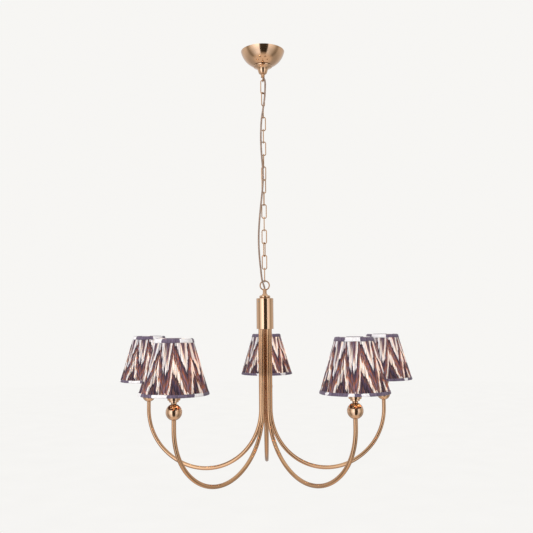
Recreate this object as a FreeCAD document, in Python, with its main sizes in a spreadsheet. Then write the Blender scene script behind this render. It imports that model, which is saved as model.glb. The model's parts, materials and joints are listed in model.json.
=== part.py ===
import FreeCAD, Part
import math
import os
import Sketcher

# Five-light ceiling pendant in satin brass: a ceiling cup, a chain of long links with a flex beside
# it, a hub that holds five swept arms, and on each arm a ball, a cup, a candle lampholder and a
# pleated fabric shade on a wire carrier. Millimetres, +Z up, origin at the centre of the ceiling
# plane. One arm points along +Y and the others follow every 72 degrees.

doc = FreeCAD.newDocument("pendant")
sheet = doc.addObject("Spreadsheet::Sheet", "Sizes")

SIZES = {
    # ceiling fitting
    "bracket_length": 90, "bracket_width": 18, "bracket_plate": 2,
    "fixing_spacing": 70, "fixing_hole": 5.2,
    "rod_dia": 10, "rod_wall": 1.3, "rod_length": 50, "rod_gap": 0.1,
    "cup_radius": 57, "cup_depth": 38.5, "cup_wall": 1.2,
    "holder_radius": 24, "holder_height": 21.5,
    "block_length": 22, "block_width": 16, "block_height": 14, "block_offset": 25,
    # chain and loops
    "first_contact": 78, "link_pitch": 33, "link_wire": 2.6, "link_width": 14, "link_corner": 4.4,
    "play": 0.05,
    "loop_wire": 3.3, "top_loop": 17, "hub_loop_dia": 26.6, "neck_dia": 9.8, "neck_bore": 7,
    "flex_dia": 4.5,
    # hub
    "cap_radius": 13.5, "cap_height": 11.5,
    "sleeve_dia": 43.6, "sleeve_wall": 1.5, "sleeve_height": 78, "sleeve_top": 649,
    "core_top": 652, "core_height": 15, "base_height": 3, "base_rise": 4,
    "grub_dia": 3, "grub_drop": 8.5, "grub_reach": 3.5,
    # arms
    "low_point": 1084, "arm_reach": 330, "stem_circle": 12.8, "tube_dia": 10, "tube_wall": 1,
    "inner_bend": 154.4, "bottom_bend": 163.7, "stem_top": 660, "arm_top": 214,
    # on each arm, heights above the low point
    "ball_dia": 35.5, "ball_height": 183,
    "collar_dia": 14, "cup_foot": 200.3, "cup_waist": 204.6, "cup_step": 207.2, "cup_lip": 214,
    "step_dia": 21, "lip_dia": 29.5,
    "shell": 1.1,
    "socket_foot": 209, "socket_shoulder": 222, "socket_rim": 257, "socket_dia": 25,
    "socket_base": 13.6, "socket_bore": 14.4, "socket_floor": 231,
    "bulb_foot": 232, "bulb_cap": 13.8, "bulb_neck": 25, "bulb_dia": 35, "bulb_length": 97,
    # shade and its carrier
    "shade_foot": 221, "shade_height": 118, "shade_wide": 150, "shade_narrow": 80.5,
    "cloth": 1.2, "ring_wire": 2.4, "strut_wire": 2, "spoke_wire": 1.6, "clip_wire": 2,
    "clip_height": 304, "clip_radius": 17.3,
}
ARM_ANGLES = [90, 162, 234, 306, 18]
LINK_TURNS = [0, 50, 95, 5, 90, 0, 88, 160, 35, 95, 2, 90, 0, 72, -5, 90]
GRUB_ANGLES = [224, 344, 104]
STRUTS = 6
SPOKES = 3

for row, (alias, number) in enumerate(SIZES.items(), start=1):
    sheet.set(f"A{row}", alias)
    sheet.set(f"B{row}", str(number))
    sheet.setAlias(f"B{row}", alias)
doc.recompute()

nodes = []


def figure(formula):
    """The number that a formula of the sheet's sizes gives."""
    return float(doc.getObject("Sizes").evalExpression(full(formula)))


def full(formula):
    """The formula with each alias written out as the sheet's cell."""
    words = []
    word = ""
    for letter in str(formula) + " ":
        if letter.isalnum() or letter == "_":
            word += letter
            continue
        words.append(f"Sizes.{word}" if word in SIZES else word)
        words.append(letter)
        word = ""
    return "".join(words).strip()


def bind(thing, **formulas):
    for name, formula in formulas.items():
        thing.setExpression(name, full(formula))


def place(thing, x=0, y=0, z=0, turn=0.0, tilt=None):
    """Sets where a thing stands: formulas for its place, and its turn about Z in degrees."""
    spot = FreeCAD.Vector(figure(x), figure(y), figure(z))
    rotation = FreeCAD.Rotation(FreeCAD.Vector(0, 0, 1), turn)
    if tilt is not None:
        rotation = rotation.multiply(tilt)
    thing.Placement = FreeCAD.Placement(spot, rotation)
    if figure(z) != 0:
        thing.setExpression("Placement.Base.z", full(z))
    return thing


def node(thing, name):
    """Names a finished sub-part, which is written to a file of that name."""
    thing.Label = name
    nodes.append(thing)
    return thing


def origin_plane(body, role):
    return [feature for feature in body.Origin.OriginFeatures if feature.Role == role][0]


def pin(sketch, shape, point, x, y):
    """Holds one point of a sketch at the place that two formulas give."""
    for kind, formula in (("DistanceX", x), ("DistanceY", y)):
        number = figure(formula)
        if abs(number) < 1e-9:
            axis = -2 if kind == "DistanceX" else -1
            sketch.addConstraint(Sketcher.Constraint("PointOnObject", shape, point, axis))
            continue
        entry = sketch.addConstraint(Sketcher.Constraint(kind, -1, 1, shape, point, number))
        sketch.setExpression(f"Constraints[{entry}]", full(formula))


def outline(sketch, corners, closed=True):
    """Draws straight edges and arcs through corners (x, y) or (x, y, radius): a radius makes the
    edge that leaves that corner an arc, turning left for a positive number, right for a negative."""
    spots = [(figure(c[0]), figure(c[1])) for c in corners]
    edges = len(corners) if closed else len(corners) - 1
    for i in range(edges):
        a = FreeCAD.Vector(*spots[i], 0)
        b = FreeCAD.Vector(*spots[(i + 1) % len(corners)], 0)
        if len(corners[i]) < 3:
            sketch.addGeometry(Part.LineSegment(a, b))
            continue
        radius = figure(corners[i][2])
        half = (b - a) / 2
        side = FreeCAD.Vector(-half.y, half.x, 0).normalize()
        deep = math.sqrt(max(radius * radius - half.Length ** 2, 0))
        centre = a + half + side * math.copysign(deep, radius)
        bulge = centre - side * math.copysign(abs(radius), radius)
        sketch.addGeometry(Part.Arc(a, bulge, b))
    for i in range(edges):
        start, end = (2, 1) if turned_round(sketch, i, spots[i]) else (1, 2)
        pin(sketch, i, start, corners[i][0], corners[i][1])
        if len(corners[i]) > 2:
            size = str(corners[i][2]).lstrip("-")
            entry = sketch.addConstraint(Sketcher.Constraint("Radius", i, figure(size)))
            sketch.setExpression(f"Constraints[{entry}]", full(size))
        following = (i + 1) % len(corners)
        if not closed and i == edges - 1:
            pin(sketch, i, end, corners[following][0], corners[following][1])
            continue
        begin = 2 if turned_round(sketch, following, spots[following]) else 1
        sketch.addConstraint(Sketcher.Constraint("Coincident", i, end, following, begin))


def turned_round(sketch, index, spot):
    """Whether an arc's own first point is its far end: the sketcher keeps arcs counterclockwise."""
    first = sketch.getPoint(index, 1)
    return math.hypot(first.x - spot[0], first.y - spot[1]) > 1e-6


def turned(name, corners):
    """A body turned about Z from an outline of (radius, height) corners."""
    body = doc.addObject("PartDesign::Body", name)
    sketch = body.newObject("Sketcher::SketchObject", name + "_outline")
    sketch.AttachmentSupport = [(origin_plane(body, "XZ_Plane"), "")]
    sketch.MapMode = "FlatFace"
    outline(sketch, corners)
    spin = body.newObject("PartDesign::Revolution", name + "_turned")
    spin.Profile = sketch
    spin.ReferenceAxis = (sketch, ["V_Axis"])
    spin.Angle = 360
    return body


def plate(name, thickness, corners=(), circles=()):
    """A flat body of that thickness, up from z = 0: circles are (x, y, radius) formulas."""
    body = doc.addObject("PartDesign::Body", name)
    sketch = body.newObject("Sketcher::SketchObject", name + "_plan")
    sketch.AttachmentSupport = [(origin_plane(body, "XY_Plane"), "")]
    sketch.MapMode = "FlatFace"
    if corners:
        outline(sketch, corners)
    for x, y, radius in circles:
        centre = FreeCAD.Vector(figure(x), figure(y), 0)
        circle = Part.Circle(centre, FreeCAD.Vector(0, 0, 1), figure(radius))
        index = sketch.addGeometry(circle)
        pin(sketch, index, 3, x, y)
        entry = sketch.addConstraint(Sketcher.Constraint("Radius", index, figure(radius)))
        sketch.setExpression(f"Constraints[{entry}]", full(radius))
    pad = body.newObject("PartDesign::Pad", name + "_pad")
    pad.Profile = sketch
    bind(pad, Length=thickness)
    return body


def primitive(kind, name, **formulas):
    thing = doc.addObject(f"Part::{kind}", name)
    bind(thing, **formulas)
    return thing


def upright_ring(name, radius, wire_radius, tall, turn):
    """A wire ring that stands in the XZ plane, turned about Z."""
    ring = primitive("Torus", name, Radius1=radius, Radius2=wire_radius)
    upright = FreeCAD.Rotation(FreeCAD.Vector(1, 0, 0), 90)
    return place(ring, z=tall, turn=turn, tilt=upright)


def rod(name, radius, start, end):
    """A round rod from one point to another, each (radius from the axis, height, angle)."""
    ends = [
        FreeCAD.Vector(
            figure(r) * math.cos(math.radians(angle)),
            figure(r) * math.sin(math.radians(angle)),
            figure(tall),
        )
        for r, tall, angle in (start, end)
    ]
    along = ends[1] - ends[0]
    piece = primitive("Cylinder", name, Radius=radius)
    piece.Height = along.Length
    piece.Placement = FreeCAD.Placement(ends[0], FreeCAD.Rotation(FreeCAD.Vector(0, 0, 1), along))
    return piece


def swept(name, corners, radius, closed):
    """A round wire along a path of corners in the XZ plane that sets out along Z."""
    path = doc.addObject("Sketcher::SketchObject", name + "_path")
    path.Placement = FreeCAD.Placement(
        FreeCAD.Vector(0, 0, 0), FreeCAD.Rotation(FreeCAD.Vector(1, 0, 0), 90)
    )
    outline(path, corners, closed)
    section = primitive("Circle", name + "_section", Radius=radius)
    place(section, x=corners[0][0], z=corners[0][1])
    bind(section, **{"Placement.Base.x": corners[0][0]})
    sweep = doc.addObject("Part::Sweep", name)
    sweep.Sections = [section]
    sweep.Spine = (path, [f"Edge{i + 1}" for i in range(path.GeometryCount)])
    sweep.Solid = True
    sweep.Frenet = False
    return sweep


def cut(name, base, tool):
    result = doc.addObject("Part::Cut", name)
    result.Base = base
    result.Tool = tool
    return result


def fuse(name, pieces):
    result = doc.addObject("Part::MultiFuse", name)
    result.Shapes = pieces
    return result


# ---- ceiling fitting ----
ROD_HOLE = "rod_dia / 2 + rod_gap"


def ceiling_bracket():
    x, y = "bracket_length / 2", "bracket_width / 2"
    corners = [(f"-{x}", f"-{y}"), (x, f"-{y}"), (x, y), (f"-{x}", y)]
    circles = [("0", "0", ROD_HOLE)]
    circles += [(f"{sign}fixing_spacing / 2", "0", "fixing_hole / 2") for sign in ("", "-")]
    return place(plate("ceiling_bracket", "bracket_plate", corners, circles), z="-bracket_plate")


def hollow_rod():
    outer, bore = "rod_dia / 2", "rod_dia / 2 - rod_wall"
    corners = [(bore, "0"), (outer, "0"), (outer, "rod_length"), (bore, "rod_length")]
    return place(turned("hollow_rod", corners), z="-rod_length")


def ceiling_cup():
    """A spun bowl: steep sides run round into a shallow cone that the holder clamps."""
    corners = [
        (ROD_HOLE, "0"),
        ("cup_radius * 0.36", "0", "cup_radius * 0.86"),
        ("cup_radius * 0.80", "cup_depth * 0.42", "cup_radius"),
        ("cup_radius", "cup_depth"),
        ("cup_radius - cup_wall", "cup_depth", "-(cup_radius - cup_wall)"),
        ("cup_radius * 0.80 - cup_wall * 0.77", "cup_depth * 0.42 + cup_wall * 0.64",
         "-(cup_radius * 0.86 - cup_wall)"),
        ("cup_radius * 0.36", "cup_wall"),
        (ROD_HOLE, "cup_wall"),
    ]
    return place(turned("ceiling_cup", corners), z="-cup_depth")


def bell_holder():
    """The bell nut under the cup: a wide lip, a hollow neck and a rounded end."""
    corners = [
        (ROD_HOLE, "0"),
        ("holder_radius * 0.30", "0"),
        ("holder_radius * 0.42", "holder_height * 0.08", "holder_radius * 1.4"),
        ("holder_radius * 0.54", "holder_height * 0.50", "-holder_radius * 0.62"),
        ("holder_radius", "holder_height * 0.90"),
        ("holder_radius", "holder_height"),
        (ROD_HOLE, "holder_height"),
    ]
    return place(turned("bell_holder", corners), z="-(cup_depth + holder_height)")


def terminal_block():
    block = primitive("Box", "block_case", Length="block_length", Width="block_width",
                      Height="block_height")
    place(block, x="block_offset - block_length / 2", y="-block_width / 2")
    ways = []
    for i, share in enumerate((-1, 0, 1)):
        way = primitive("Cylinder", f"block_way_{i + 1}", Radius="block_width / 9",
                        Height="block_width + 2")
        tilt = FreeCAD.Rotation(FreeCAD.Vector(1, 0, 0), -90)
        place(way, x=f"block_offset + {share} * block_length / 3.3", y="-block_width / 2 - 1",
              z="block_height * 0.45", tilt=tilt)
        ways.append(way)
    block = cut("terminal_block", block, fuse("block_ways", ways))
    return place(block, z="-(bracket_plate + block_height)")


def loop(name, ring_dia, ring_centre, neck_low, neck_high, turn):
    """A cast loop: a wire ring on a hollow neck that lets the flex through."""
    ring = upright_ring(name + "_ring", f"({ring_dia} - loop_wire) / 2", "loop_wire / 2",
                        ring_centre, turn)
    neck = primitive("Cylinder", name + "_neck", Radius="neck_dia / 2",
                     Height=f"{neck_high} - ({neck_low})")
    place(neck, z=neck_low)
    bore = primitive("Cylinder", name + "_bore", Radius="neck_bore / 2",
                     Height=f"{neck_high} - ({neck_low}) + 2")
    place(bore, z=f"{neck_low} - 1")
    return cut(name, fuse(name + "_blank", [ring, neck]), bore)


TOP_RING = "-(first_contact + loop_wire - top_loop / 2)"
LAST_CONTACT = "-(first_contact + 16 * link_pitch)"
HUB_RING = f"{LAST_CONTACT} - (hub_loop_dia / 2 - loop_wire) "


def canopy_loop():
    return loop("canopy_loop", "top_loop", TOP_RING, f"{TOP_RING} + top_loop / 2 - 4.2",
                "-(rod_length + 1)", 90)


def hub_loop():
    return loop("hub_loop", "hub_loop_dia", HUB_RING, "-(core_top + core_height * 0.6)",
                f"{HUB_RING} - hub_loop_dia / 2 + 4.2", 0)


# ---- chain ----
def chain_link(number):
    """A long link of round wire, upright and centred on its own middle."""
    wide = "(link_width - link_wire) / 2"
    tall = "(link_pitch + link_wire + play) / 2"
    inner_wide = f"{wide} - link_corner"
    inner_tall = f"{tall} - link_corner"
    corners = [
        (wide, "0"),
        (wide, inner_tall, "link_corner"),
        (inner_wide, tall),
        (f"-({inner_wide})", tall, "link_corner"),
        (f"-({wide})", inner_tall),
        (f"-({wide})", f"-({inner_tall})", "link_corner"),
        (f"-({inner_wide})", f"-({tall})"),
        (inner_wide, f"-({tall})", "link_corner"),
        (wide, f"-({inner_tall})"),
    ]
    link = swept(f"chain_link_{number:02d}", corners, "link_wire / 2", True)
    centre = f"-(first_contact + ({number} - 0.5) * link_pitch)"
    return place(link, z=centre, turn=LINK_TURNS[number - 1])


# ---- flex: out of the canopy loop, down beside the chain, and through the hub loop ----
FLEX_ROUTE = [
    (0, 0, -62), (0, 0, -69), (4.2, -3.6, -74), (6.2, -6.4, -85), (5.6, -7.0, -104),
    (4.6, -7.8, -124), (0.8, -10.8, -152), (-4.6, -9.2, -182), (-6.8, -6.6, -222),
    (-6.2, -6.4, -262), (-3.4, -9.6, -298), (-1.0, -11.2, -330), (-2.6, -10.6, -362),
    (-7.2, -8.0, -402), (-12.2, -6.0, -448), (-15.0, -5.0, -498), (-12.8, -5.4, -545),
    (-9.0, -6.4, -582), (-7.0, -6.2, -602), (-2.4, -2.8, -615.5), (0, 0, -623.5), (0, 0, -633),
]
ARC_SHARE = 0.45


def flex():
    """A round tube along straight runs joined by tangent arcs."""
    points = [FreeCAD.Vector(*point) for point in FLEX_ROUTE]
    edges = []
    radii = []
    start = points[0]
    for before, corner, after in zip(points, points[1:], points[2:]):
        back, ahead = before - corner, after - corner
        runs = (back.Length, ahead.Length)
        back.normalize()
        ahead.normalize()
        trim = ARC_SHARE * min(runs)
        turn = math.pi - back.getAngle(ahead)
        radii.append(trim / math.tan(turn / 2))
        first, last = corner + back * trim, corner + ahead * trim
        middle = (back + ahead).normalize()
        far = radii[-1] / math.cos(turn / 2) - radii[-1]
        edges.append(Part.LineSegment(start, first).toShape())
        edges.append(Part.Arc(first, corner + middle * far, last).toShape())
        start = last
    edges.append(Part.LineSegment(start, points[-1]).toShape())
    path = Part.Wire(edges)
    radius = figure("flex_dia / 2")
    section = Part.Wire(Part.Circle(points[0], points[1] - points[0], radius).toShape())
    tube = path.makePipeShell([section], True, False)
    ideal = math.pi * radius ** 2 * path.Length
    print("flex length", round(path.Length, 1), "volume share", round(tube.Volume / ideal, 4))
    print("flex radii", [round(r) for r in radii])
    thing = doc.addObject("Part::Feature", "flex")
    thing.Shape = tube
    thing.Placement = FreeCAD.Placement()
    return thing


# ---- hub ----
def hub_cap():
    """A stepped dome with a round bead at its foot."""
    hole = "neck_dia / 2 + rod_gap"
    corners = [
        (hole, "0"),
        ("cap_radius - 1.1", "0", "cap_height * 0.38"),
        ("cap_radius - 1.1", "cap_height * 0.62"),
        ("cap_radius * 0.66", "cap_height * 0.70", "-cap_height * 0.55"),
        ("cap_radius * 0.46", "cap_height"),
        (hole, "cap_height"),
    ]
    return place(turned("hub_cap", corners), z="-sleeve_top")


def hub_sleeve():
    """The tube that hides the arms' ends, with a closed top."""
    outer, inner, hole = "sleeve_dia / 2", "sleeve_dia / 2 - sleeve_wall", "neck_dia / 2 + rod_gap"
    roof = "sleeve_height - sleeve_wall"
    corners = [
        (inner, "0"), (outer, "0"), (outer, "sleeve_height - 0.8"),
        (f"{outer} - 0.8", "sleeve_height"), (hole, "sleeve_height"), (hole, roof), (inner, roof),
    ]
    tube = place(turned("sleeve_tube", corners), z="-(sleeve_top + sleeve_height)")
    return cut("hub_sleeve", tube, fuse("sleeve_holes", grub_rods("sleeve_hole", "rod_gap", "1")))


def stem_holes():
    hole = "tube_dia / 2 + rod_gap"
    return [(f"stem_circle * cos({angle} deg)", f"stem_circle * sin({angle} deg)", hole)
            for angle in ARM_ANGLES]


def hub_core():
    """The plate that the arms' upper ends are brazed into, hung on the loop's neck."""
    circles = [("0", "0", "sleeve_dia / 2 - sleeve_wall - rod_gap"),
               ("0", "0", "neck_dia / 2 + rod_gap")]
    disc = plate("core_disc", "core_height", circles=circles + stem_holes())
    place(disc, z="-(core_top + core_height)")
    return cut("hub_core", disc, fuse("core_holes", grub_rods("core_hole", "rod_gap", "1")))


def hub_base():
    """The plate that keeps the five stems apart just inside the sleeve's foot."""
    circles = [("0", "0", "sleeve_dia / 2 - sleeve_wall - rod_gap")]
    body = plate("hub_base", "base_height", circles=circles + stem_holes())
    return place(body, z="-(sleeve_top + sleeve_height) + base_rise")


def grub_rods(name, slack, proud):
    """Three small rods round the sleeve that reach into the core: the screws, or their holes."""
    tall = "-(sleeve_top + grub_drop)"
    inner, outer = f"sleeve_dia / 2 - grub_reach - {slack}", f"sleeve_dia / 2 + {proud}"
    return [rod(f"{name}_{angle}", f"grub_dia / 2 + {slack}", (inner, tall, angle),
                (outer, tall, angle)) for angle in GRUB_ANGLES]


# ---- arms and what stands on them ----
SLOPE = "sin(45 deg)"
OUTER_BEND = (f"(arm_reach - stem_circle - inner_bend - (2 * bottom_bend - inner_bend) * {SLOPE})"
              f" / (1 - {SLOPE})")
INNER_REST = f"(bottom_bend - (bottom_bend - inner_bend) * {SLOPE})"
OUTER_REST = f"(bottom_bend - (bottom_bend - {OUTER_BEND}) * {SLOPE})"


def arm_path():
    """Down the stem, round three arcs that meet at 45 degrees, and up to the lampholder."""
    inner_joint = f"stem_circle + inner_bend * (1 - {SLOPE})"
    inner_level = f"{INNER_REST} - inner_bend * {SLOPE}"
    outer_joint = f"arm_reach - {OUTER_BEND} * (1 - {SLOPE})"
    outer_level = f"{OUTER_REST} - {OUTER_BEND} * {SLOPE}"
    return [
        ("stem_circle", "low_point - stem_top"),
        ("stem_circle", INNER_REST, "inner_bend"),
        (inner_joint, inner_level, "bottom_bend"),
        (outer_joint, outer_level, OUTER_BEND),
        ("arm_reach", OUTER_REST),
        ("arm_reach", "arm_top"),
    ]


def arm(number, angle):
    outside = swept(f"arm_{number}_outside", arm_path(), "tube_dia / 2", False)
    inside = swept(f"arm_{number}_bore", arm_path(), "tube_dia / 2 - tube_wall", False)
    return place(cut(f"arm_{number}", outside, inside), z="-low_point", turn=angle)


def on_arm(thing, angle, tall):
    """Stands a thing on the end of an arm, at that height above the low point."""
    spot = (f"arm_reach * cos({angle} deg)", f"arm_reach * sin({angle} deg)")
    return place(thing, x=spot[0], y=spot[1], z=f"{tall} - low_point", turn=angle)


def ball(number):
    sphere = primitive("Sphere", f"ball_{number}_blank", Radius="ball_dia / 2")
    bore = primitive("Cylinder", f"ball_{number}_bore", Radius="tube_dia / 2 + rod_gap / 2",
                     Height="ball_dia + 2")
    place(bore, z="-(ball_dia / 2 + 1)")
    return cut(f"ball_{number}", sphere, bore)


def candle_cup(number):
    """A bead collar and a step under the shallow dish that the lampholder stands in."""
    bore, waist = "tube_dia / 2 + rod_gap / 2", "cup_waist - cup_foot"
    step, lip = "cup_step - cup_foot", "cup_lip - cup_foot"
    corners = [
        (bore, "0"),
        ("collar_dia / 2 - 1", "0", f"({waist}) * 0.62"),
        ("collar_dia / 2 - 1", f"{waist} - 1"),
        ("step_dia / 2", waist),
        ("step_dia / 2", step),
        ("lip_dia / 2 - 1", f"{step} + 1.2"),
        ("lip_dia / 2", lip),
        ("lip_dia / 2 - shell", lip),
        ("lip_dia / 2 - 1 - shell", f"{step} + 1.2 + shell"),
        (bore, f"{step} + shell"),
    ]
    return turned(f"candle_cup_{number}", corners)


def lampholder(number):
    """A candle lampholder: a narrow foot on the arm's thread, and a screw socket above it."""
    foot, shoulder, rim = "0", "socket_shoulder - socket_foot", "socket_rim - socket_foot"
    floor = "socket_floor - socket_foot"
    corners = [
        ("tube_dia / 2 + rod_gap / 2", foot),
        ("socket_base / 2", foot),
        ("socket_base / 2", shoulder),
        ("socket_dia / 2", f"{shoulder} + 2"),
        ("socket_dia / 2", f"{rim} - 1"),
        ("socket_dia / 2 - 1", rim),
        ("socket_bore / 2", rim),
        ("socket_bore / 2", floor),
        ("1.5", floor),
        ("1.5", "arm_top - socket_foot + 1"),
        ("tube_dia / 2 + rod_gap / 2", "arm_top - socket_foot + 1"),
    ]
    return turned(f"lampholder_{number}", corners)


def bulb(number):
    """A candle bulb: a screw cap, a round belly and a drawn-out tip."""
    corners = [
        ("0", "0"),
        ("bulb_cap * 0.3", "0"),
        ("bulb_cap / 2", "3"),
        ("bulb_cap / 2", "bulb_neck"),
        ("bulb_dia * 0.24", "bulb_neck + 2", "bulb_dia * 1.4"),
        ("bulb_dia / 2", "bulb_length * 0.56", "bulb_dia * 1.5"),
        ("3", "bulb_length - 2", "4"),
        ("1.2", "bulb_length"),
        ("0", "bulb_length"),
    ]
    return turned(f"bulb_{number}", corners)


# ---- shades ----
SHADE_SLOPE = "((shade_wide - shade_narrow) / 2 / shade_height)"


def shade_radius(tall):
    """The outside radius of a shade at a height above its foot."""
    return f"(shade_wide / 2 - ({tall}) * {SHADE_SLOPE})"


def shade(number):
    """The closed shell of the pleated cloth, open at the top and the foot."""
    corners = [
        ("shade_wide / 2 - cloth", "0"),
        ("shade_wide / 2", "0"),
        ("shade_narrow / 2", "shade_height"),
        ("shade_narrow / 2 - cloth", "shade_height"),
    ]
    return turned(f"shade_{number}", corners)


def shade_frame(number):
    """The wire carrier: two rings, the struts between them, and a clip ring on the bulb."""
    low, high = "ring_wire", "shade_height - ring_wire"
    inset = "cloth + ring_wire / 2 + 0.4"
    clip = "clip_height - shade_foot"
    between = 180 / STRUTS
    rings = [
        place(primitive("Torus", f"frame_{number}_{name}", Radius1=radius, Radius2=wire), z=tall,
              turn=between)
        for name, radius, wire, tall in (
            ("foot_ring", f"{shade_radius(low)} - ({inset})", "ring_wire / 2", low),
            ("top_ring", f"{shade_radius(high)} - ({inset})", "ring_wire / 2", high),
            ("clip_ring", "clip_radius", "clip_wire / 2", clip),
        )
    ]
    wires = []
    for i in range(STRUTS):
        angle = 360 / STRUTS * i
        ends = [(f"{shade_radius(tall)} - ({inset})", tall, angle) for tall in (low, high)]
        wires.append(rod(f"frame_{number}_strut_{i + 1}", "strut_wire / 2", *ends))
    for i in range(SPOKES):
        angle = 360 / SPOKES * i
        ends = [("clip_radius", clip, angle), (f"{shade_radius(clip)} - ({inset})", clip, angle)]
        wires.append(rod(f"frame_{number}_spoke_{i + 1}", "spoke_wire / 2", *ends))
    return fuse(f"shade_frame_{number}", rings + wires)


# ---- the whole lamp ----
for make in (ceiling_bracket, hollow_rod, ceiling_cup, bell_holder, terminal_block, canopy_loop,
             hub_loop, hub_cap, hub_sleeve, hub_core, hub_base, flex):
    node(make(), make.__name__)
for link_number in range(1, len(LINK_TURNS) + 1):
    node(chain_link(link_number), f"chain_link_{link_number:02d}")

grubs = doc.addObject("Part::Compound", "grub_screws")
grubs.Links = grub_rods("grub_screw", "0", "0.3")
node(grubs, "grub_screws")

bulb_bodies = []
for arm_number, arm_angle in enumerate(ARM_ANGLES, start=1):
    node(arm(arm_number, arm_angle), f"arm_{arm_number}")
    for make, tall in ((ball, "ball_height"), (candle_cup, "cup_foot"),
                       (lampholder, "socket_foot"), (shade, "shade_foot"),
                       (shade_frame, "shade_foot")):
        piece = on_arm(make(arm_number), arm_angle, tall)
        node(piece, f"{make.__name__}_{arm_number}")
    bulb_bodies.append(on_arm(bulb(arm_number), arm_angle, "bulb_foot"))
bulbs = doc.addObject("Part::Compound", "bulbs")
bulbs.Links = bulb_bodies
node(bulbs, "bulbs")
doc.recompute()

# ---- checks, then the files ----
failed = [thing.Label for thing in doc.Objects
          if "Invalid" in thing.State or "Error" in thing.State]
failed += [thing.Label for thing in nodes if thing.Shape.isNull() or not thing.Shape.isValid()]
if failed:
    raise RuntimeError(f"these objects failed: {failed}")

os.makedirs("parts", exist_ok=True)
for thing in nodes:
    thing.Shape.exportStep(f"parts/{thing.Label}.step")
box = Part.makeCompound([thing.Shape for thing in nodes]).BoundBox
print(len(nodes), "nodes; x", round(box.XMin, 1), round(box.XMax, 1), "y", round(box.YMin, 1),
      round(box.YMax, 1), "z", round(box.ZMin, 1), round(box.ZMax, 1))
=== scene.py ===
import json
import math
import random

import bmesh
import bpy
from mathutils import Matrix, Vector

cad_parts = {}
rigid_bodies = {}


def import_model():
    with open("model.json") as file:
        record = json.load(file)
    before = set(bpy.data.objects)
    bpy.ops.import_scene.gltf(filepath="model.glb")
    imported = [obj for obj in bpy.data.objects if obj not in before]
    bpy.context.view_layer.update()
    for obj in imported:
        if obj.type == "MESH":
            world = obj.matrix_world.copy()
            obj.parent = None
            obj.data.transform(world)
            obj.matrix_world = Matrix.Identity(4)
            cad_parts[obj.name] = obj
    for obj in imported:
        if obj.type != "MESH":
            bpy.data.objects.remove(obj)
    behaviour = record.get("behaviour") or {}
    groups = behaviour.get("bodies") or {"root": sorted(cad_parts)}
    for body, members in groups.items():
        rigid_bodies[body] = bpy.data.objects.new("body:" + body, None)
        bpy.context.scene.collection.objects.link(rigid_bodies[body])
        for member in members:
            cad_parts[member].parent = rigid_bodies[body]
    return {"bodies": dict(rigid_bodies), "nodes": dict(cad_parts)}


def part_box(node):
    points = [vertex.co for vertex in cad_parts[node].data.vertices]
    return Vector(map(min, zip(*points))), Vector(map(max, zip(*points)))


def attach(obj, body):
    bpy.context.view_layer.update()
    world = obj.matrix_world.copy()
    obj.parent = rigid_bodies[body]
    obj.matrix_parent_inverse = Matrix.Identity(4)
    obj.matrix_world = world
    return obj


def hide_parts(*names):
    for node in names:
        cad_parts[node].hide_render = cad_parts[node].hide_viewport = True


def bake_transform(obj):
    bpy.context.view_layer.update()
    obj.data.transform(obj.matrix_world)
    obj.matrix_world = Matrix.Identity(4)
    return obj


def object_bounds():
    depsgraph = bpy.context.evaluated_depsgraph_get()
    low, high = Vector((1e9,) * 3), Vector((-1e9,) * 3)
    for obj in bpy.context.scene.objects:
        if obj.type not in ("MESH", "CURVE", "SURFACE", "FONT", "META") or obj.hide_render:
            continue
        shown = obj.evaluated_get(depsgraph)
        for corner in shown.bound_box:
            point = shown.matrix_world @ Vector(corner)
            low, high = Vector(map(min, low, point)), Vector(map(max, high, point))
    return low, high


# Looks for the five-light brass pendant with pleated ikat shades. Metres, +Z up, ceiling at z = 0.
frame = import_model()
cad_low, cad_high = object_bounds()
ARMS = range(1, 6)
MM = 0.001


# ---- camera ----
SENSOR = 36.0
FOCAL_LENGTH = 46.23
CAMERA_BACK = 1.751
CAMERA_OVER_BASE = 0.3736
PITCH_UP = math.radians(4.83)
PAN_RIGHT = math.radians(0.165)
ROLL = math.radians(-0.53)
ORBIT = math.radians(0.62)


def make_camera():
    data = bpy.data.cameras.new("camera")
    data.sensor_width = SENSOR
    data.lens = FOCAL_LENGTH
    camera = bpy.data.objects.new("camera", data)
    bpy.context.scene.collection.objects.link(camera)
    spot = Matrix.Translation((0, -CAMERA_BACK, cad_low.z + CAMERA_OVER_BASE))
    aim = (Matrix.Rotation(-PAN_RIGHT, 4, "Z") @ Matrix.Rotation(math.pi / 2 + PITCH_UP, 4, "X")
           @ Matrix.Rotation(ROLL, 4, "Z"))
    camera.matrix_world = Matrix.Rotation(ORBIT, 4, "Z") @ spot @ aim
    bpy.context.scene.camera = camera
    bpy.context.scene.view_settings.view_transform = "Standard"


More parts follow.
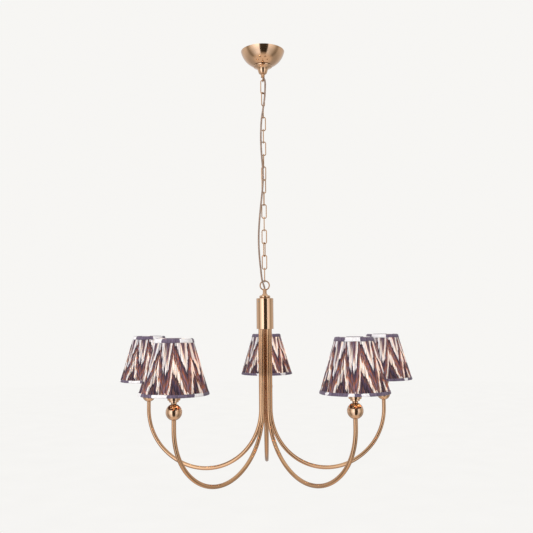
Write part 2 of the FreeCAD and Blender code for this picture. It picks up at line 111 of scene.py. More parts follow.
# ---- meshes through rings of points ----
def lofted(name, rings, along, joined):
    """A closed mesh through rings of points. Its UV map runs once round each ring and takes the
    numbers in along from ring to ring. Joined, the last ring meets the first; if not, the two
    end rings are filled."""
    count = len(rings[0])
    points = [point for ring in rings for point in ring]
    faces, corners = [], []
    last = len(rings) if joined else len(rings) - 1
    for row in range(last):
        above = (row + 1) % len(rings)
        for column in range(count):
            beside = (column + 1) % count
            faces.append((row * count + column, row * count + beside,
                          above * count + beside, above * count + column))
            left, right = column / count, (column + 1) / count
            corners += [(left, along[row]), (right, along[row]),
                        (right, along[above]), (left, along[above])]
    if not joined:
        for row in (0, len(rings) - 1):
            faces.append(tuple(row * count + column for column in range(count)))
            corners += [(column / count, along[row]) for column in range(count)]
    mesh = bpy.data.meshes.new(name)
    mesh.from_pydata(points, [], faces)
    uv = mesh.uv_layers.new(name="UVMap")
    for loop, corner in zip(uv.data, corners):
        loop.uv = corner
    edit = bmesh.new()
    edit.from_mesh(mesh)
    bmesh.ops.recalc_face_normals(edit, faces=edit.faces)
    for face in edit.faces:
        face.smooth = True
    edit.to_mesh(mesh)
    edit.free()
    thing = bpy.data.objects.new(name, mesh)
    bpy.context.scene.collection.objects.link(thing)
    return thing


# ---- flex: down beside the chain, from the canopy loop to the hub loop ----
FLEX_ROUTE = [
    (0, 0, -62), (0, 0, -69), (4.2, -3.6, -74), (6.2, -6.4, -85), (5.6, -7.0, -104),
    (4.6, -7.8, -124), (0.8, -10.8, -152), (-4.6, -9.2, -182), (-6.8, -6.6, -222),
    (-6.2, -6.4, -262), (-3.4, -9.6, -298), (-1.0, -11.2, -330), (-2.6, -10.6, -362),
    (-7.2, -8.0, -402), (-12.2, -6.0, -448), (-15.0, -5.0, -498), (-12.8, -5.4, -545),
    (-9.0, -6.4, -582), (-7.0, -6.2, -602), (-2.4, -2.8, -615.5), (0, 0, -623.5), (0, 0, -633),
]
FLEX_DIAMETER = 4.5 * MM
FLEX_SIDES = 20
FLEX_STEPS = 9


def route_line(points):
    """The points of a smooth line whose control points are given in millimetres."""
    curve = bpy.data.curves.new("route", "CURVE")
    curve.dimensions = "3D"
    spline = curve.splines.new("NURBS")
    spline.points.add(len(points) - 1)
    for spot, point in zip(spline.points, points):
        spot.co = (*(Vector(point) * MM), 1)
    spline.order_u = 3
    spline.use_endpoint_u = True
    spline.resolution_u = FLEX_STEPS
    holder = bpy.data.objects.new("route", curve)
    bpy.context.scene.collection.objects.link(holder)
    bpy.context.view_layer.update()
    evaluated = holder.evaluated_get(bpy.context.evaluated_depsgraph_get())
    line = bpy.data.meshes.new_from_object(evaluated)
    found = [vertex.co.copy() for vertex in line.vertices]
    bpy.data.objects.remove(holder)
    bpy.data.meshes.remove(line)
    return found


def make_flex():
    line = route_line(FLEX_ROUTE)
    side = Vector((1, 0, 0))
    rings, along, travelled = [], [], 0.0
    for i, point in enumerate(line):
        ahead = (line[min(i + 1, len(line) - 1)] - line[max(i - 1, 0)]).normalized()
        side = (side - ahead * side.dot(ahead)).normalized()
        across = ahead.cross(side)
        ring = []
        for step in range(FLEX_SIDES):
            angle = 2 * math.pi * step / FLEX_SIDES
            ring.append(point + (side * math.cos(angle) + across * math.sin(angle)) * FLEX_DIAMETER / 2)
        travelled += (point - line[i - 1]).length if i else 0.0
        rings.append(ring)
        along.append(travelled / FLEX_DIAMETER)
    flex = lofted("flex_sheath", rings, along, joined=False)
    flex.data.materials.append(flex_sheath())
    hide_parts("flex")
    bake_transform(flex)


# ---- material helper ----
class Finish:
    """One material and short ways to add nodes to it."""

    def __init__(self, name):
        self.material = bpy.data.materials.new(name)
        self.material.use_nodes = True
        self.tree = self.material.node_tree
        self.shader = self.tree.nodes["Principled BSDF"]

    def add(self, kind, inputs=None, **settings):
        node = self.tree.nodes.new("ShaderNode" + kind)
        for name, value in settings.items():
            setattr(node, name, value)
        for socket, value in (inputs or {}).items():
            self.put(node.inputs[socket], value)
        return node

    def put(self, socket, value):
        if isinstance(value, bpy.types.NodeSocket):
            self.tree.links.new(value, socket)
        else:
            socket.default_value = value

    def set(self, **values):
        """Sets the shader's own sockets, named with _ for a space."""
        for name, value in values.items():
            self.put(self.shader.inputs[name.replace("_", " ")], value)

    def math(self, kind, first, second=0.0, clamp=False):
        node = self.add("Math", {0: first, 1: second}, operation=kind, use_clamp=clamp)
        return node.outputs[0]

    def place(self):
        """The point in the object's own frame, which is the row frame at rest."""
        return self.add("TexCoord").outputs["Object"]

    def uv(self):
        parts = self.add("SeparateXYZ", {0: self.add("UVMap", uv_map="UVMap").outputs[0]})
        return parts.outputs[0], parts.outputs[1]

    def split(self, vector):
        parts = self.add("SeparateXYZ", {0: vector})
        return parts.outputs[0], parts.outputs[1], parts.outputs[2]

    def join(self, x, y, z=0.0):
        return self.add("CombineXYZ", {0: x, 1: y, 2: z}).outputs[0]

    def noise(self, vector, scale, detail=2.0, rough=0.5):
        inputs = {"Vector": vector, "Scale": scale, "Detail": detail, "Roughness": rough}
        return self.add("TexNoise", inputs).outputs["Fac"]

    def span(self, value, low, high, to_low=0.0, to_high=1.0):
        inputs = {0: value, 1: low, 2: high, 3: to_low, 4: to_high}
        return self.add("MapRange", inputs).outputs[0]

    def ramp(self, factor, stops, steps="LINEAR"):
        node = self.add("ValToRGB", {0: factor})
        node.color_ramp.interpolation = steps
        elements = node.color_ramp.elements
        while len(elements) < len(stops):
            elements.new(0.5)
        # all places first, because the ramp sorts its elements by place
        for element, (position, colour) in zip(elements, stops):
            element.position = position
        for element, (position, colour) in zip(elements, stops):
            element.color = (*colour, 1)
        return node.outputs[0]

    def mix(self, factor, first, second, kind="MIX"):
        node = self.add("Mix", data_type="RGBA", blend_type=kind)
        for socket, value in ((0, factor), (6, first), (7, second)):
            self.put(node.inputs[socket], (*value, 1) if isinstance(value, tuple) else value)
        return node.outputs[2]

    def bump(self, height, distance, strength=1.0):
        inputs = {"Height": height, "Distance": distance, "Strength": strength}
        return self.add("Bump", inputs).outputs[0]


# ---- metal ----
BRASS = (0.80, 0.49, 0.24)
BRASS_DEEP = (0.58, 0.32, 0.15)
BRASS_PALE = (0.88, 0.62, 0.37)
# painted shade: the near-black brass laid into creases and between parts, and how far that darkening
# reaches
BRASS_CREASE_SHADE = (0.16, 0.08, 0.035)
CREASE_SHADE_REACH = 8 * MM
LACQUER_IOR = 2.0
ZINC = (0.55, 0.56, 0.57)
WHITE_PLASTIC = (0.80, 0.79, 0.75)
HOLDER_PLASTIC = (0.78, 0.76, 0.70)


def brass(name, turned=None, rough=0.2, deep=0.35, lacquer=1.0, least_deep=0.0):
    """Satin antique brass. Turned pieces have fine lines from the lathe that depend only on the
    height and the distance from the axis, and drawn tubes have a finer even grain. The share of the
    deep tone runs from least_deep to deep, in clouds."""
    finish = Finish(name)
    place = finish.place()
    x, y, z = finish.split(place)
    cloud = finish.noise(place, 14.0, 3.0)
    fine = finish.noise(place, 420.0, 2.0)
    if turned == "about the axis":
        radius = finish.math("SQRT", finish.math("ADD", finish.math("MULTIPLY", x, x),
                                                 finish.math("MULTIPLY", y, y)))
        grain = finish.noise(finish.join(radius, 0.0, z), 2600.0, 3.0, 0.65)
    elif turned == "upright":
        grain = finish.noise(finish.join(0.0, 0.0, z), 2600.0, 3.0, 0.65)
    else:
        grain = finish.noise(place, 1300.0, 3.0, 0.6)
    tone = finish.mix(finish.span(cloud, 0.3, 0.7, least_deep, deep), BRASS, BRASS_DEEP)
    tone = finish.mix(finish.span(fine, 0.55, 0.8, 0.0, 0.25), tone, BRASS_PALE)
    # painted shade: the brass darkens towards near-black where ambient occlusion finds creases and nearby
    # parts
    crease_shade = finish.add("AmbientOcclusion", {"Distance": CREASE_SHADE_REACH}, samples=4).outputs["AO"]
    tone = finish.mix(finish.span(crease_shade, 0.1, 0.75), BRASS_CREASE_SHADE, tone)
    finish.set(Base_Color=tone, Metallic=1.0)
    spread = finish.math("ADD", finish.span(grain, 0.3, 0.7, rough - 0.03, rough + 0.05),
                         finish.span(cloud, 0.3, 0.7, -0.02, 0.03))
    finish.set(Roughness=spread, Normal=finish.bump(grain, 0.000004, 0.3))
    finish.set(Coat_Weight=lacquer, Coat_IOR=LACQUER_IOR, Coat_Roughness=max(rough - 0.04, 0.05))
    return finish.material


def steel(name):
    """Bright zinc plate with a light spangle."""
    finish = Finish(name)
    place = finish.place()
    spangle = finish.add("TexVoronoi", {"Vector": place, "Scale": 260.0}).outputs["Color"]
    grey = finish.mix(0.12, ZINC, spangle, "OVERLAY")
    grain = finish.noise(place, 900.0, 3.0)
    finish.set(Base_Color=grey, Metallic=1.0, Roughness=finish.span(grain, 0.3, 0.7, 0.28, 0.42),
               Normal=finish.bump(grain, 0.00003, 0.4))
    return finish.material


def plastic(name, colour, rough):
    """Moulded plastic with a faint orange peel and slight clouding."""
    finish = Finish(name)
    place = finish.place()
    peel = finish.noise(place, 700.0, 2.0)
    cloud = finish.noise(place, 60.0, 2.0)
    darker = tuple(part * 0.86 for part in colour)
    finish.set(Base_Color=finish.mix(finish.span(cloud, 0.3, 0.7), darker, colour),
               Roughness=finish.span(peel, 0.3, 0.7, rough - 0.05, rough + 0.08),
               Normal=finish.bump(peel, 0.00004, 0.5))
    return finish.material


# ---- flex sheath ----
BRAIDS = 16
BRAID_SLOPE = 3.2
# painted shade: the dark colour in the gaps between the braid's strands
STRAND_GAP_SHADE = (0.045, 0.028, 0.02)
STRAND = (0.30, 0.19, 0.125)
STRAND_WORN = (0.34, 0.25, 0.19)


def flex_sheath():
    """A braided textile sheath: two sets of strands that cross at a slant."""
    finish = Finish("braided_sheath")
    u, v = finish.uv()
    turn = finish.math("MULTIPLY", u, BRAIDS)
    slant = finish.math("MULTIPLY", v, BRAIDS / BRAID_SLOPE)
    strands = []
    for kind in ("ADD", "SUBTRACT"):
        wave = finish.math("PINGPONG", finish.math(kind, turn, slant), 0.5)
        strands.append(finish.math("MULTIPLY", wave, 2.0))
    weave = finish.math("MAXIMUM", strands[0], strands[1])
    blotch = finish.noise(finish.place(), 40.0, 3.0)
    # painted shade in the gaps where the strands part; the strands themselves keep their own colour
    tone = finish.mix(weave, STRAND_GAP_SHADE, STRAND)
    tone = finish.mix(finish.span(blotch, 0.35, 0.7, 0.0, 0.5), tone, STRAND_WORN)
    finish.set(Base_Color=tone, Roughness=0.55, Sheen_Weight=0.25, Sheen_Roughness=0.4,
               Normal=finish.bump(weave, 0.0003, 0.8))
    return finish.material


# ---- bulbs ----
OPAL = (0.86, 0.83, 0.76)
NICKEL = (0.62, 0.60, 0.56)
BULB_GLOW = 1.6
BULB_GLOW_COLOUR = (1.0, 0.78, 0.5)
BULB_CAP_HEIGHT = 25.5 * MM
CAP_THREADS = 360.0


def opal_bulb():
    """Opal glass above a nickel screw cap, told apart by height."""
    finish = Finish("opal_bulb")
    z = finish.split(finish.place())[2]
    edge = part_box("bulbs")[0].z + BULB_CAP_HEIGHT
    on_cap = finish.math("LESS_THAN", z, edge)
    thread = finish.math("PINGPONG", finish.math("MULTIPLY", z, CAP_THREADS), 0.5)
    thread = finish.math("MULTIPLY", thread, on_cap)
    tone = finish.mix(on_cap, OPAL, NICKEL)
    finish.set(Base_Color=tone, Metallic=on_cap, Roughness=0.22, Coat_Weight=0.4,
               Emission_Color=(*BULB_GLOW_COLOUR, 1), Normal=finish.bump(thread, 0.0012, 1.0),
               Emission_Strength=finish.math("MULTIPLY", finish.math("SUBTRACT", 1.0, on_cap), BULB_GLOW))
    return finish.material


# ---- cloth ----
REPEATS = 9
PLEATS = 72
THREADS = 540
PLUM = (0.085, 0.048, 0.080)
INK = (0.040, 0.022, 0.034)
MAUVE = (0.210, 0.145, 0.200)
ROSE = (0.360, 0.200, 0.175)
RUST = (0.400, 0.130, 0.060)
AMBER = (0.560, 0.230, 0.090)
BROWN = (0.185, 0.080, 0.066)
CREAM = (0.900, 0.790, 0.690)
WHITE = (0.880, 0.850, 0.840)
BINDING_DARK = [(0.080, 0.055, 0.085), (0.165, 0.122, 0.172)]
BINDING_PALE = [(0.72, 0.68, 0.66), (0.84, 0.81, 0.78)]
WEAVE_HEIGHT = 0.2 * MM
CLOTH_LETS_THROUGH = 0.35
BINDING_LETS_THROUGH = 0.12
# Colours by level: flames below 0, a pale outline up to 1, stripes to 2, a pale V to 3, its inside
IKAT_LOW = -1.0
IKAT_HIGH = 4.0
IKAT = [(-1.0, PLUM), (-0.80, BROWN), (-0.62, INK), (-0.45, PLUM), (-0.25, BROWN), (-0.12, INK),
        (0.0, CREAM), (0.50, WHITE), (0.80, CREAM), (1.0, AMBER), (1.08, BROWN), (1.20, ROSE),
        (1.30, BROWN), (1.42, MAUVE), (1.52, RUST), (1.62, BROWN), (1.74, PLUM), (1.88, INK),
        (2.0, WHITE), (2.5, CREAM), (3.0, ROSE), (3.12, MAUVE), (3.30, BROWN), (3.50, MAUVE),
        (3.75, PLUM)]


def weave_bump(finish, u, v):
    """The relief of a plain weave, threads over and under."""
    warp = finish.math("SINE", finish.math("MULTIPLY", u, THREADS * 2 * math.pi))
    weft = finish.math("SINE", finish.math("MULTIPLY", v, THREADS / 4 * 2 * math.pi))
    return finish.bump(finish.math("MULTIPLY", warp, weft), WEAVE_HEIGHT, 0.5)


def cloth_shader(finish, colour, through_share):
    """Cloth that lets a share of the light through."""
    finish.set(Base_Color=colour, Roughness=0.75, Sheen_Weight=0.25, Sheen_Roughness=0.45)
    through = finish.add("BsdfTranslucent", {"Color": colour})
    mixed = finish.add("MixShader", {0: through_share, 1: finish.shader.outputs[0], 2: through.outputs[0]})
    output = finish.tree.nodes["Material Output"]
    finish.put(output.inputs["Surface"], mixed.outputs[0])


def chance_of(finish, number, shift):
    """A fixed random value, 0 to 1, for each whole number."""
    noise = finish.add("TexWhiteNoise", {"W": finish.math("ADD", number, shift)}, noise_dimensions="1D")
    return noise.outputs["Value"]


def ikat_cloth():
    """Warp-dyed cloth: tall flames in pale outlines. The edges step from thread to thread, and each
    side of a fold shows a slightly different slice of the pattern."""
    finish = Finish("ikat_cloth")
    u, v = finish.uv()
    around = finish.math("MULTIPLY", u, 2 * math.pi)
    ring = finish.join(finish.math("COSINE", around), finish.math("SINE", around))
    side = finish.math("FLOOR", finish.math("MULTIPLY", u, 2 * PLEATS))
    thread = finish.math("FLOOR", finish.math("MULTIPLY", u, THREADS / 2))
    uneven = finish.span(finish.noise(ring, 1.9, 1.0), 0.3, 0.7, -0.012, 0.012)
    slip = finish.span(chance_of(finish, side, 0.21), 0.0, 1.0, -0.0045, 0.0045)
    moved = finish.math("ADD", finish.math("ADD", u, uneven), slip)
    turns = finish.math("MULTIPLY", moved, 2.0 * REPEATS)
    apart = finish.math("PINGPONG", turns, 1.0)
    flame = finish.math("FLOOR", finish.math("MULTIPLY", finish.math("ADD", turns, 1.0), 0.5))
    drift = finish.noise(finish.join(finish.math("MULTIPLY", u, 70.0), v), 1.0, 3.0)
    shifts = [
        finish.span(chance_of(finish, side, 0.43), 0.0, 1.0, -0.075, 0.075),
        finish.span(chance_of(finish, thread, 0.0), 0.0, 1.0, -0.03, 0.03),
        finish.span(chance_of(finish, flame, 0.0), 0.0, 1.0, -0.05, 0.05),
        finish.span(drift, 0.25, 0.75, -0.03, 0.03),
    ]
    height = v
    for shift in shifts:
        height = finish.math("ADD", height, shift)
    # heights of the four edges, from the middle of a flame (apart 0) to the gap's middle (1)
    edges = [
        finish.span(apart, 0.0, 0.60, 0.42, 0.0),
        finish.span(apart, 0.0, 1.0, 0.66, -0.19),
        finish.span(apart, 0.0, 1.0, 0.98, 0.36),
        finish.span(apart, 0.0, 1.0, 1.62, 0.54),
    ]
    over_first = finish.math("SUBTRACT", height, edges[0])
    level = finish.math("MULTIPLY", finish.math("MINIMUM", over_first, 0.0), 2.2)
    for lower, upper in zip(edges, edges[1:]):
        gap = finish.math("MAXIMUM", finish.math("SUBTRACT", upper, lower), 0.02)
        part = finish.math("DIVIDE", finish.math("SUBTRACT", height, lower), gap, clamp=True)
        level = finish.math("ADD", level, part)
    beyond = finish.math("MAXIMUM", finish.math("SUBTRACT", height, edges[3]), 0.0)
    level = finish.math("ADD", level, finish.math("MULTIPLY", beyond, 2.5))
    factor = finish.span(level, IKAT_LOW, IKAT_HIGH)
    stops = [((tall - IKAT_LOW) / (IKAT_HIGH - IKAT_LOW), colour) for tall, colour in IKAT]
    colour = finish.ramp(factor, stops, "CONSTANT")
    dyed = finish.span(chance_of(finish, thread, 0.37), 0.55, 1.0, 0.0, 0.38)
    colour = finish.mix(dyed, colour, finish.mix(0.5, colour, MAUVE))
    streak = finish.noise(finish.join(finish.math("MULTIPLY", u, 300.0), finish.math("MULTIPLY", v, 4.0)),
                          1.0, 2.0)
    # painted shade: the cloth's colour darkens down in the valley of each pleat
    fold = finish.math("PINGPONG", finish.math("MULTIPLY", u, PLEATS), 0.5)
    # painted light and shade: each side of a fold made a little lighter or darker at random, as if it
    # caught the light differently; the streaks added next are the yarn's own
    light = finish.span(chance_of(finish, side, 0.77), 0.0, 1.0, 0.84, 1.12)
    light = finish.math("ADD", light, finish.span(streak, 0.3, 0.7, -0.14, 0.12))
    light = finish.math("MULTIPLY", light, finish.span(fold, 0.0, 0.14, 0.55, 1.0))
    colour = finish.mix(1.0, colour, finish.join(light, light, light), "MULTIPLY")
    cloth_shader(finish, colour, CLOTH_LETS_THROUGH)
    finish.set(Normal=weave_bump(finish, u, v))
    return finish.material


# Where each binding turns from dark to pale and back, as shares of a turn from +X
TOP_PATCHES = [
    (0.10, 0.18, 0.36, 0.44, 0.70, 0.78),
    (0.04, 0.12, 0.27, 0.36, 0.50, 0.63, 0.82, 0.93),
    (0.08, 0.20, 0.36, 0.45, 0.52, 0.67, 0.82, 0.95),
    (0.05, 0.14, 0.30, 0.38, 0.66, 0.78),
    (0.09, 0.17, 0.33, 0.42, 0.61, 0.76),
]
FOOT_PATCHES = [
    (0.08, 0.15, 0.26, 0.36, 0.47, 0.53, 0.69, 0.74, 0.84, 0.88),
    (0.07, 0.15, 0.25, 0.34, 0.50, 0.56, 0.66, 0.73, 0.84, 0.90),
    (0.06, 0.13, 0.22, 0.30, 0.44, 0.48, 0.53, 0.59, 0.67, 0.74, 0.865, 0.92),
    (0.05, 0.12, 0.24, 0.33, 0.42, 0.47, 0.58, 0.60, 0.70, 0.73, 0.76, 0.795),
    (0.04, 0.09, 0.20, 0.28, 0.40, 0.47, 0.58, 0.66, 0.85, 0.88),
]


def band_cloth(name, turns):
    """The binding: the same cloth cut across its stripes, so that it changes colour in patches."""
    finish = Finish(name)
    u, v = finish.uv()
    ragged = finish.noise(finish.join(finish.math("MULTIPLY", u, 90.0), finish.math("MULTIPLY", v, 6.0)),
                          1.0, 2.0)
    around = finish.math("ADD", u, finish.span(ragged, 0.3, 0.7, -0.006, 0.006))
    stops = [(0.0, (0, 0, 0))] + [(spot, ((i + 1) % 2,) * 3) for i, spot in enumerate(turns)]
    pale = finish.ramp(around, stops, "CONSTANT")
    streak = finish.noise(finish.join(finish.math("MULTIPLY", u, 150.0), finish.math("MULTIPLY", v, 3.0)),
                          1.0, 2.0)
    dark = finish.mix(finish.span(streak, 0.35, 0.65), *BINDING_DARK)
    light = finish.mix(finish.span(streak, 0.35, 0.65), *BINDING_PALE)
    colour = finish.mix(pale, dark, light)
    cloth_shader(finish, colour, BINDING_LETS_THROUGH)
    finish.set(Normal=weave_bump(finish, u, v))
    return finish.material


# ---- shades ----
PLEAT_STEPS = 8
SHADE_ROWS = 28
PLEAT_CREST = 1.1 * MM
PLEAT_VALLEY = -1.0 * MM
CLOTH = 0.5 * MM
BAND_COLUMNS = 288
TOP_BAND = 8.0 * MM
FOOT_BAND = 6.0 * MM
LIP = 1.0 * MM


def radius_at(node, centre, height):
    """The outer radius of a round CAD node at a height where it has corners."""
    radii = [math.hypot(v.co.x - centre.x, v.co.y - centre.y)
             for v in frame["nodes"][node].data.vertices if abs(v.co.z - height) < 1e-4]
    return max(radii)


class Cone:
    """The outer face of one shade, as its CAD solid gives it."""

    def __init__(self, number):
        node = f"shade_{number}"
        low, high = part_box(node)
        self.centre = (low + high) / 2
        self.foot, self.top = low.z, high.z
        self.wide = radius_at(node, self.centre, self.foot)
        self.narrow = radius_at(node, self.centre, self.top)
        self.slant = math.hypot(self.top - self.foot, self.wide - self.narrow)

    def point(self, angle, share, proud):
        """A point at a share of the height, proud of the face by that much."""
        radius = self.wide + (self.narrow - self.wide) * share + proud
        return (self.centre.x + radius * math.cos(angle), self.centre.y + radius * math.sin(angle),
                self.foot + (self.top - self.foot) * share)


def pleat_profile(step):
    """How far out of its valley the cloth stands, 0 to 1, at a share of one pleat. It leans."""
    leaned = step + 0.10 * math.sin(2 * math.pi * step)
    return 0.5 - 0.5 * math.cos(2 * math.pi * leaned)


def pleated_cloth(number, cone, chance):
    """The gathered cloth: pleats of slightly uneven depth that wander a little on their way up."""
    depths = [chance.uniform(0.72, 1.0) for _ in range(PLEATS)]
    leans = [chance.uniform(-0.16, 0.16) for _ in range(PLEATS)]
    bows = [chance.uniform(-0.14, 0.14) for _ in range(PLEATS)]
    rings, along = [], []
    rows = [row / SHADE_ROWS for row in range(SHADE_ROWS + 1)]
    for wall, shares in ((0.0, rows), (-CLOTH, rows[::-1])):
        for share in shares:
            edge = min(share * cone.slant / FOOT_BAND, (1 - share) * cone.slant / TOP_BAND, 1.0)
            pressed = 0.45 + 0.55 * edge
            ring = []
            for column in range(PLEATS * PLEAT_STEPS):
                pleat, step = divmod(column, PLEAT_STEPS)
                step /= PLEAT_STEPS
                after = (pleat + 1) % PLEATS
                depth = depths[pleat] + (depths[after] - depths[pleat]) * step
                lean = leans[pleat] + (leans[after] - leans[pleat]) * step
                bow = bows[pleat] + (bows[after] - bows[pleat]) * step
                wander = lean * (share - 0.5) + bow * math.sin(math.pi * share)
                angle = 2 * math.pi * (pleat + step + wander) / PLEATS
                out = PLEAT_VALLEY + (PLEAT_CREST - PLEAT_VALLEY) * pleat_profile(step) * depth
                ring.append(cone.point(angle, share, out * pressed + wall))
            rings.append(ring)
            along.append(share)
    cloth = lofted(f"shade_cloth_{number}", rings, along, joined=True)
    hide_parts(f"shade_{number}")
    return cloth


def binding(name, cone, at_top, chance):
    """A folded strip over one edge of the shade, seen as a band outside and inside."""
    tall = TOP_BAND if at_top else FOOT_BAND
    outside, inside, gap = 1.55 * MM, -2.35 * MM, 0.45 * MM
    # the strip's cross-section as (proud of the cone, distance from the edge inwards)
    profile = [(outside - 0.3 * MM, tall), (outside, tall - 0.5 * MM), (outside, tall * 0.5),
               (outside - 0.1 * MM, 0.3 * MM), (outside - 0.9 * MM, -LIP), (-0.4 * MM, -LIP * 1.3),
               (inside + 0.5 * MM, -LIP), (inside, 0.2 * MM), (inside, tall * 0.4),
               (inside + 0.1 * MM, tall * 0.75), (inside + gap, tall * 0.75),
               (inside + gap, 0.4 * MM), (-0.4 * MM, -LIP * 0.5), (outside - gap, 0.4 * MM),
               (outside - gap, tall - 0.4 * MM)]
    phases = [chance.uniform(0, 2 * math.pi) for _ in range(3)]
    rings, along = [], []
    for i, (proud, inwards) in enumerate(profile):
        ring = []
        for column in range(BAND_COLUMNS):
            angle = 2 * math.pi * column / BAND_COLUMNS
            ripple = 0.10 * MM * math.sin(angle * PLEATS) if proud > 0 else 0.0
            sway = 0.22 * MM * (math.sin(3 * angle + phases[0]) + math.sin(7 * angle + phases[1])
                                + 0.6 * math.sin(16 * angle + phases[2]))
            reach = inwards + (sway if inwards > tall * 0.4 else 0.0)
            share = 1 - reach / cone.slant if at_top else reach / cone.slant
            ring.append(cone.point(angle, share, proud + ripple))
        rings.append(ring)
        along.append(i / len(profile))
    return lofted(name, rings, along, joined=True)


def make_shade(number, cloth_finish):
    cone = Cone(number)
    chance = random.Random(number)
    body = f"shade_unit_{number}"
    cloth = pleated_cloth(number, cone, chance)
    cloth.data.materials.append(cloth_finish)
    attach(cloth, body)
    for at_top, place in ((True, "top"), (False, "foot")):
        patches = (TOP_PATCHES if at_top else FOOT_PATCHES)[number - 1]
        band = binding(f"shade_{place}_binding_{number}", cone, at_top, chance)
        band.data.materials.append(band_cloth(f"{place}_band_cloth_{number}", patches))
        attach(band, body)


# ---- finishes of the CAD nodes ----
def finish_nodes():
    by_axis = brass("brass_turned_on_axis", "about the axis", 0.11)
    upright = brass("brass_turned", "upright", 0.12)
    drawn = brass("brass_drawn_tube", None, 0.10, 0.95, lacquer=0.35, least_deep=0.55)
    chain = brass("brass_chain", None, 0.22, 0.8, lacquer=0.3)
    plate = steel("zinc_plate")
    finishes = {
        by_axis: ["ceiling_cup", "bell_holder", "hub_cap", "hub_sleeve"],
        drawn: ["hollow_rod", "hub_core", "hub_base", "canopy_loop", "hub_loop"]
        + [f"arm_{k}" for k in ARMS],
        upright: [f"{kind}_{k}" for kind in ("ball", "candle_cup") for k in ARMS],
        chain: [f"chain_link_{k:02d}" for k in range(1, 17)],
        plate: ["ceiling_bracket", "grub_screws"] + [f"shade_frame_{k}" for k in ARMS],
        plastic("white_plastic", WHITE_PLASTIC, 0.35): ["terminal_block"],
        plastic("holder_plastic", HOLDER_PLASTIC, 0.4): [f"lampholder_{k}" for k in ARMS],
        opal_bulb(): ["bulbs"],
    }
    for finish, names in finishes.items():
        for name in names:
            data = frame["nodes"][name].data
            data.materials.clear()
            data.materials.append(finish)
            data.shade_smooth()


# ---- studio: camera rays see a plain pale floor and backdrop, the lamp sees soft boxes ----
BACKDROP = (0.93, 0.92, 0.90)
BACKDROP_LEVEL = 1.0
FLOOR_DROP = 0.9
FLOOR_RADIUS = 14.0
# brightness of the studio round the lamp, by degrees to the right of the camera's side
STUDIO = [(-180, 0.62), (-104, 0.70), (-94, 0.62), (-86, 0.36), (-78, 0.40), (-66, 0.80), (-48, 1.30),
          (-36, 1.70), (-18, 1.85), (-14, 0.06), (29, 0.05), (33, 1.30), (50, 1.05), (66, 0.75),
          (78, 0.40), (88, 0.36), (98, 0.60), (180, 0.62)]
# tint of the dim walls and of the bright panels
WALL_TINT = (1.0, 0.86, 0.70)
PANEL_TINT = (1.0, 1.03, 1.18)
STUDIO_ABOVE = (0.45, 0.44, 0.43)
STUDIO_BELOW = (0.42, 0.36, 0.33)
STUDIO_SIDES_LOW = 0.66
PANEL_LEVEL = 1.3
SOFT_BOX_DISTANCE = 2.6
SOFT_BOX_COLOUR = (0.97, 0.99, 1.0)


def make_world():
    world = bpy.data.worlds.new("studio")
    bpy.context.scene.world = world
    world.use_nodes = True
    tree = world.node_tree
    tree.nodes.clear()

    def add(kind, inputs=None, **settings):
        node = tree.nodes.new("ShaderNode" + kind)
        for name, value in settings.items():
            setattr(node, name, value)
        for socket, value in (inputs or {}).items():
            if isinstance(value, bpy.types.NodeSocket):
                tree.links.new(value, node.inputs[socket])
            else:
                node.inputs[socket].default_value = value
        return node

    split = add("SeparateXYZ", {0: add("TexCoord").outputs["Generated"]})
    x, y, z = split.outputs
    back = add("Math", {0: y, 1: -1.0}, operation="MULTIPLY").outputs[0]
    turn = add("Math", {0: x, 1: back}, operation="ARCTAN2").outputs[0]
    share = add("MapRange", {0: turn, 1: -math.pi, 2: math.pi}).outputs[0]
    ramp = add("ValToRGB", {0: share})
    while len(ramp.color_ramp.elements) < len(STUDIO):
        ramp.color_ramp.elements.new(0.5)
    top = max(level for _, level in STUDIO)
    # all places first, because the ramp sorts its elements by place
    for element, (degrees, level) in zip(ramp.color_ramp.elements, STUDIO):
        element.position = (degrees + 180) / 360
    for element, (degrees, level) in zip(ramp.color_ramp.elements, STUDIO):
        bright = min(level / PANEL_LEVEL, 1.0)
        tint = [wall + (panel - wall) * bright for wall, panel in zip(WALL_TINT, PANEL_TINT)]
        element.color = (*(level / top * part for part in tint), 1)
    over = add("MapRange", {0: z, 1: 0.60, 2: 0.85}).outputs[0]
    under = add("MapRange", {0: z, 1: -0.72, 2: -0.92}).outputs[0]
    fade = add("MapRange", {0: z, 1: -0.12, 2: -0.50, 3: 1.0, 4: STUDIO_SIDES_LOW}).outputs[0]
    walls = add("VectorMath", {0: ramp.outputs[0], 3: fade}, operation="SCALE").outputs[0]
    ceiling = add("Mix", {0: over, 6: walls, 7: (*STUDIO_ABOVE, 1)}, data_type="RGBA")
    whole = add("Mix", {0: under, 6: ceiling.outputs[2], 7: (*STUDIO_BELOW, 1)}, data_type="RGBA")
    studio = add("Background", {0: whole.outputs[2], 1: top})
    backdrop = add("Background", {0: (*BACKDROP, 1), 1: BACKDROP_LEVEL})
    seen = add("LightPath").outputs["Is Camera Ray"]
    mixed = add("MixShader", {0: seen, 1: studio.outputs[0], 2: backdrop.outputs[0]})
    add("OutputWorld", {0: mixed.outputs[0]})


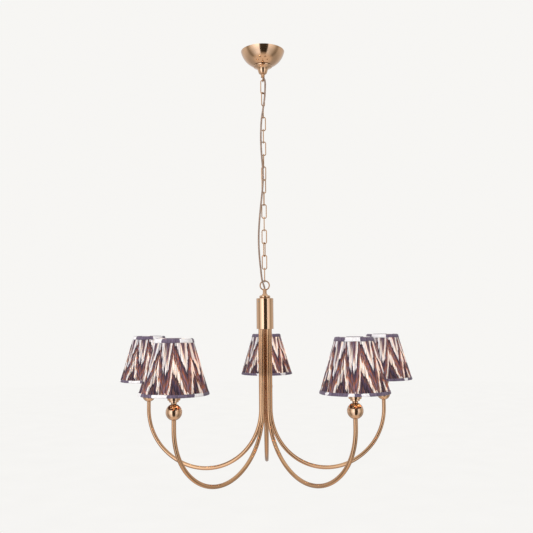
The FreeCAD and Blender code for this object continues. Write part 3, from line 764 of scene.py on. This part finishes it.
def make_floor():
    """A wide pale disc that only camera rays see. It glows with the backdrop's colour and brightness, with
    a faint grain.
    """
    bpy.ops.mesh.primitive_circle_add(vertices=96, radius=FLOOR_RADIUS, fill_type="NGON",
                                      location=(0, 0, cad_low.z - FLOOR_DROP))
    floor = bpy.context.object
    floor.name = "floor"
    finish = Finish("floor")
    grain = finish.noise(finish.place(), 3.0, 3.0)
    tone = finish.mix(finish.span(grain, 0.3, 0.7), BACKDROP, tuple(part * 0.985 for part in BACKDROP))
    glow = finish.add("Emission", {"Color": tone, "Strength": BACKDROP_LEVEL})
    finish.put(finish.tree.nodes["Material Output"].inputs["Surface"], glow.outputs[0])
    floor.data.materials.append(finish.material)
    for ray in ("diffuse", "glossy", "transmission", "shadow"):
        setattr(floor, f"visible_{ray}", False)


def soft_box(name, degrees, height, size, power):
    """An area light aimed at the middle of the lamp, degrees to the right of the camera's side."""
    light = bpy.data.lights.new(name, "AREA")
    light.shape = "RECTANGLE"
    light.size, light.size_y = size
    light.energy = power
    light.color = SOFT_BOX_COLOUR
    holder = bpy.data.objects.new(name, light)
    bpy.context.scene.collection.objects.link(holder)
    angle = math.radians(degrees)
    middle = (cad_low + cad_high) / 2
    spot = Vector((math.sin(angle) * SOFT_BOX_DISTANCE, -math.cos(angle) * SOFT_BOX_DISTANCE,
                   middle.z + height))
    holder.location = spot
    holder.rotation_euler = (middle - spot).to_track_quat("-Z", "Y").to_euler()
    holder.visible_camera = False
    holder.visible_glossy = False


BULB_POWER = 1.7
BULB_COLOUR = (1.0, 0.72, 0.42)
BULB_LIGHT_SIZE = 12 * MM
BULB_LIGHT_ASIDE = 22 * MM


def bulb_lights():
    low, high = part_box("bulbs")
    for k in ARMS:
        cone = Cone(k)
        light = bpy.data.lights.new(f"bulb_light_{k}", "POINT")
        light.energy = BULB_POWER
        light.color = BULB_COLOUR
        light.shadow_soft_size = BULB_LIGHT_SIZE
        holder = bpy.data.objects.new(f"bulb_light_{k}", light)
        bpy.context.scene.collection.objects.link(holder)
        holder.location = (cone.centre.x + BULB_LIGHT_ASIDE, cone.centre.y, (low.z + high.z) / 2)
        holder.visible_glossy = False
        holder.parent = frame["bodies"]["lamp"]


make_camera()
make_flex()
cloth_finish = ikat_cloth()
for number in ARMS:
    make_shade(number, cloth_finish)
finish_nodes()
make_world()
make_floor()
soft_box("left_soft_box", -42, 0.5, (1.8, 2.6), 60)
soft_box("right_soft_box", 52, 0.4, (1.5, 2.6), 40)
bulb_lights()

bpy.context.view_layer.update()
